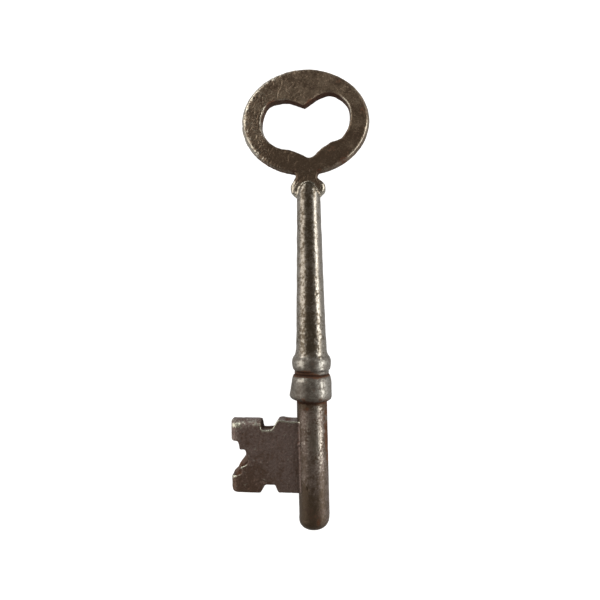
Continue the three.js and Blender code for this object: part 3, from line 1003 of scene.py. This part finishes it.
# The neck's foot is tucked into the stem's round, and the flat rises in a small fillet to the stem's dome
points = mesh_points(bow_mesh)
height = points[:, 1]
foot = ramp(height, NECK_FOOT + 0.9, NECK_FOOT)
round_depth = np.sqrt(np.maximum(STEM_HEAD_RADIUS ** 2 - points[:, 0] ** 2, 0.12)) - 0.05
tucked = np.clip(points[:, 2], -round_depth, round_depth)
points[:, 2] += foot * (tucked - points[:, 2])
climb = ramp(height - dome_foot, 0, DOME_HEIGHT)
dome_radius = STEM_HEAD_RADIUS * np.sqrt(1 - climb ** 2)
from_dome = np.hypot(points[:, 0], half) - dome_radius
near = np.clip(from_dome / DOME_FILLET, 0, 1)
# A thin painted highlight runs along the front of the dome's edge, where light from above glints on it.
dome_highlight = np.exp(-(from_dome / DOME_HIGHLIGHT_WIDTH) ** 2) * ramp(height - dome_foot, 0, 2)
dome_highlight *= points[:, 2] > 0.8
rise = DOME_FILLET * (1 - np.sqrt(1 - (1 - near) ** 2)) * ramp(height, NECK_FOOT + 4.2, NECK_FOOT + 3.4)
points[:, 2] += 0.8 * rise * np.sign(points[:, 2]) * ramp(np.abs(points[:, 2]), 0.5, 0.9)

# The rim is worn round, most of all on the left, and the ears run easily into the stem
flat = leaned(points[:, :2] - np.array(BOW_CENTRE), (0, 0), -BOW_TILT)
inside = 1 - np.hypot(flat[:, 0] / BOW_HALF_WIDTH, flat[:, 1] / BOW_HALF_HEIGHT)
from_edge = np.clip(inside * BOW_MEAN_RADIUS, 0, 3)
rim_wear = RIGHT_RIM_WEAR + LEFT_RIM_WEAR * ramp(points[:, 0], 1.5, -4.5)
worn_round = rim_wear * ramp(from_edge, RIM_WEAR_WIDTH, 0) ** 2
points[:, 2] -= 0.8 * worn_round * points[:, 2] * ramp(np.abs(points[:, 2]), 0.2, 0.5)
ear_roots = marks(points, {
    "right": (1, (2.0, NECK_FOOT + 0.7, 0), (0.5, 0.8, 3)),
    "left": (1, (-2.0, NECK_FOOT + 0.7, 0), (0.5, 0.8, 3)),
})
move_points(bow_mesh, smoothed(bow_mesh, points, SMOOTHING * np.clip(ear_roots, 0, 1)[:, None], 10))

# The eye's lower right wall is ragged, as it came from the mould
points = mesh_points(bow_mesh)
normals = mesh_points(bow_mesh, "normal")
ragged = spot(points, (3.5, 63.2, 0), (3.5, 2.0, 3)) * np.clip(1 - np.abs(normals[:, 2]) * 1.5, 0, 1)
points += normals * (EYE_RAGGEDNESS * ragged * cloudy(points * (1, 1, 0), 0.9))[:, None]
move_points(bow_mesh, points)

# Short strokes run in from the rim on the left of the front, where the casting is also roughest
rough_side = ramp(points[:, 0], 2, -6)
smooth_side = np.clip(marks(points, {
    "lower right": (1, (5, 64, 1), (5, 4.5, 4)),
    "below the eye": (0.6, (-2, 61, 1), (5, 2.5, 3)),
}), 0, 1)
turn = np.arctan2(flat[:, 1], flat[:, 0])
strokes = cloudy(np.stack([STROKES_ROUND_RIM * turn, from_edge / 1.4, np.full(len(turn), 5.0)], 1), 1)
strokes *= ramp(from_edge, 1.5, 0) * ramp(points[:, 0], -2, -5)
points = mesh_points(bow_mesh)
points[:, 2] += STROKE_DEPTH * strokes * ramp(points[:, 2], 0.2, 0.6)
move_points(bow_mesh, points)
bow_grain = 0.032 + 0.02 * rough_side - 0.028 * smooth_side
bow_pits = 0.03 + 0.08 * rough_side
roughen(bow_mesh, waves=0.014, grain=bow_grain, pits=bow_pits, seed=71.0, lay=math.radians(60))


def edge_nearness(points, outline, width):
    """How near each point is to an outline, seen from the front: 1 on it, fading to 0 over a width."""
    nearest = np.full(len(points), 1e9)
    for start, end in zip(outline, np.roll(outline, -1, 0)):
        way = end - start
        offset = points[:, :2] - start
        along = np.clip(offset @ way / max(way @ way, 1e-9), 0, 1)
        gap = offset - along[:, None] * way
        nearest = np.minimum(nearest, (gap ** 2).sum(1))
    return np.exp(-nearest / width ** 2)


# Where the marks lie: the ears, the rims of the oval and of the eye, and the walls between the two faces
points = mesh_points(bow_mesh)
x, y, z = points.T
low_neck = ramp(y, NECK_FOOT + 3.0, NECK_FOOT + 2.4)
ear_rim = low_neck * ramp(np.abs(x), 2.0, 2.3)
low_ear = low_neck * ramp(x, 1.5, 1.8) * ramp(y, NECK_FOOT + 1.6, NECK_FOOT + 1.1)
left_ear = low_neck * ramp(x, -1.2, -1.6)
rim = edge_nearness(points, oval_outline(0.3), 0.4)
rim_glint = edge_nearness(points, oval_outline(0.4), 0.2)
broad_rim = edge_nearness(points, oval_outline(0.2), 1.1)
eye_rim = edge_nearness(points, heart_outline(0.15), 0.25)
eye_right = spot(points, (6.6, 69.8, 1), (1.3, 2.2, 2))
inner_wall = edge_nearness(points, heart_outline(0), 0.3) * (np.abs(z) < 0.85) * ramp(y, 67, 69)
outer_wall = edge_nearness(points, oval_outline(0), 0.3) * (np.abs(z) < 0.6)
upper_left = ramp(y, 61.5, 64) * ramp(x, -2, -7)
clouds = cloudy(points * (1, 1, 0), 1.7)

worn = 0.17 + 1.1 * strokes + 0.75 * dome_highlight - 0.4 * notches
worn += 0.6 * ear_rim + 0.5 * left_ear + 0.3 * low_ear
# On the upper left the rim is rubbed and also painted bright: a painted highlight along the rim and a broad
# painted sheen inside it.
worn += (0.18 + 0.7 * rim + 0.08 * broad_rim) * upper_left
worn += rim * (0.1 + 0.12 * spot(points, (3.5, 60, 1), (3, 1.5, 3)))
# A thin line along the lower right rim is rubbed, and also a painted highlight.
worn += 0.36 * rim_glint * spot(points, (9, 64, 1), (3.5, 5, 3))
worn += eye_rim * (eye_right + 0.25 * ramp(x, 0, -4))
rusted = 0.1 + 0.9 * inner_wall + 0.35 * outer_wall * ramp(x, 3, 0)
rusted += 0.6 * notches * (np.abs(normals[:, 2]) < 0.97) + 0.12 * spot(points, (5, 63, 1), (4, 3, 3))
rusted += 0.45 * np.clip(clouds + 0.1, 0, 1) * ramp(x, -2, 4)
rusted += 0.8 * eye_rim * marks(points, {
    "top of the left lobe": (1, (-5.7, 71.2, 1), (1.3, 0.8, 1)),
    "cusp": (0.8, (0.6, 71.0, 1), (0.8, 0.5, 1)),
})
stained = 0.25 + 1.2 * inner_wall + 0.35 * clouds + marks(points, {
    # Below the eye and at the lower left, painted shade makes the bow darker towards its bottom, as light
    # falls from above.
    "below the eye": (0.45, (0, 60, 1), (9, 4, 3)),
    "lower left": (0.3, (-5, 61, 1), (3, 2.5, 3)),
    "right": (0.2, (8, 66, 1), (3, 5, 3)),
    # The neck's mark is painted shade, dimming the side lights' reflections on its edges.
    "neck": (0.5, (0, NECK_FOOT + 3.9, 1), (2.5, 1.0, 2)),
})
polished = 0.8 * rim * upper_left + 0.9 * rim * spot(points, (8.5, 63.5, 1), (5, 6, 3))
polished += 0.8 * eye_rim * eye_right + 0.5 * smooth_side + 0.4 * ear_rim + 0.5 * low_ear + 0.3 * left_ear
bow_iron = iron_material("bow_iron", {
    "Patina": (0.222, 0.173, 0.126, 1),
    "Dark Patina": (0.107, 0.077, 0.054, 1),
    "Bare Iron": (0.34, 0.315, 0.265, 1),
    "Rust": (0.13, 0.055, 0.03, 1),
    "Pit Rust": 0.2,
    "Grain Size": 0.25,
    "Grain Height": 0.034,
    "Bare Roughness": 0.26,
    "Patina Roughness": 0.4,
    "Patina Metal": 0.7,
})
finish_piece(bow_mesh, "bow", bow_iron, worn, rusted, stained, polished)


# Table: the plain white surface that the key lies on, a little self-lit as a light table is. It touches the
# round of the collar. Sizes are in metres from here on.
FLOOR_HEIGHT = -0.00337
FLOOR_REACH = 3
TABLE_GLOW = 0.42
TABLE_GLOW_TO_CAMERA = 1.0
floor_mesh = bpy.data.meshes.new("table")
floor_corners = ((-1, -1), (1, -1), (1, 1), (-1, 1))
floor_mesh.from_pydata(
    [(x * FLOOR_REACH, y * FLOOR_REACH, FLOOR_HEIGHT) for x, y in floor_corners], [], [(0, 1, 2, 3)])
table = bpy.data.objects.new("table", floor_mesh)
bpy.context.scene.collection.objects.link(table)
white = bpy.data.materials.new("table_white")
white.use_nodes = True
surface = white.node_tree.nodes["Principled BSDF"]
surface.inputs["Base Color"].default_value = (0.35, 0.35, 0.35, 1)
surface.inputs["Roughness"].default_value = 0.9
surface.inputs["Specular IOR Level"].default_value = 0.0
surface.inputs["Emission Color"].default_value = (1, 1, 1, 1)
seen = white.node_tree.nodes.new("ShaderNodeLightPath")
glow = white.node_tree.nodes.new("ShaderNodeMix")
white.node_tree.links.new(seen.outputs["Is Camera Ray"], glow.inputs["Factor"])
glow.inputs["A"].default_value = TABLE_GLOW
glow.inputs["B"].default_value = TABLE_GLOW_TO_CAMERA
white.node_tree.links.new(glow.outputs["Result"], surface.inputs["Emission Strength"])
floor_mesh.materials.append(white)


# Studio light: two long soft boxes low at the left and the right, which draw the two bright lines on the
# stem, a small low one beyond the bow's top at the left, which brightens its rim, and a dim ceiling that
# keeps the flat faces dark.
WALL_LIGHT = (0.24, 0.235, 0.225, 1)
CEILING_LIGHT = (0.128, 0.103, 0.077, 1)
BACKDROP = (0.93, 0.93, 0.93, 1)
CEILING_START = 0.35
CEILING_FULL = 0.75


def soft_box(name, place, aim, length, height, power, colour):
    """An area light that lies along the key and isn't seen itself."""
    lamp = bpy.data.lights.new(name, "AREA")
    lamp.shape = "RECTANGLE"
    lamp.size = length
    lamp.size_y = height
    lamp.energy = power
    lamp.color = colour
    box = bpy.data.objects.new(name, lamp)
    box.location = place
    box.rotation_euler = (Vector(aim) - Vector(place)).to_track_quat("-Z", "Y").to_euler()
    box.visible_camera = False
    bpy.context.scene.collection.objects.link(box)


soft_box("right_box", place=(0.17, 0.035, 0.062), aim=(0, 0.03, 0),
         length=0.34, height=0.06, power=0.45, colour=(1, 0.985, 0.95))
soft_box("left_box", place=(-0.165, 0.082, 0.088), aim=(0, 0.062, 0),
         length=0.33, height=0.14, power=0.355, colour=(1, 0.94, 0.87))
soft_box("top_box", place=(-0.13, 0.24, 0.035), aim=(-0.005, 0.066, 0),
         length=0.12, height=0.04, power=0.12, colour=(1, 0.99, 0.95))

world = bpy.data.worlds.new("studio")
bpy.context.scene.world = world
world.use_nodes = True
nodes = world.node_tree.nodes
links = world.node_tree.links
room = nodes["Background"]
direction = nodes.new("ShaderNodeTexCoord")
parts = nodes.new("ShaderNodeSeparateXYZ")
links.new(direction.outputs["Generated"], parts.inputs[0])
ceiling = nodes.new("ShaderNodeMapRange")
ceiling.interpolation_type = "SMOOTHSTEP"
ceiling.inputs["From Min"].default_value = CEILING_START
ceiling.inputs["From Max"].default_value = CEILING_FULL
links.new(parts.outputs["Z"], ceiling.inputs["Value"])
lit = nodes.new("ShaderNodeMix")
lit.data_type = "RGBA"
links.new(ceiling.outputs["Result"], lit.inputs["Factor"])
lit.inputs[6].default_value = WALL_LIGHT
lit.inputs[7].default_value = CEILING_LIGHT
seen = nodes.new("ShaderNodeLightPath")
choose = nodes.new("ShaderNodeMix")
choose.data_type = "RGBA"
links.new(seen.outputs["Is Camera Ray"], choose.inputs["Factor"])
links.new(lit.outputs[2], choose.inputs[6])
choose.inputs[7].default_value = BACKDROP
links.new(choose.outputs[2], room.inputs["Color"])
room.inputs["Strength"].default_value = 1.0
bpy.context.scene.view_settings.view_transform = "Standard"


# Camera: straight above the key's middle and leaned a little to the right, as the photograph was taken.
lens = bpy.data.cameras.new("camera")
lens.sensor_width = 36
lens.lens = 28.54
lens.clip_start = 0.005
lens.clip_end = 20
camera = bpy.data.objects.new("camera", lens)
camera.location = (0.007371, 0.03812, 0.079678)
camera.rotation_euler = (math.radians(-0.118), math.radians(6.499), math.radians(-1.039))
bpy.context.scene.collection.objects.link(camera)
bpy.context.scene.camera = camera
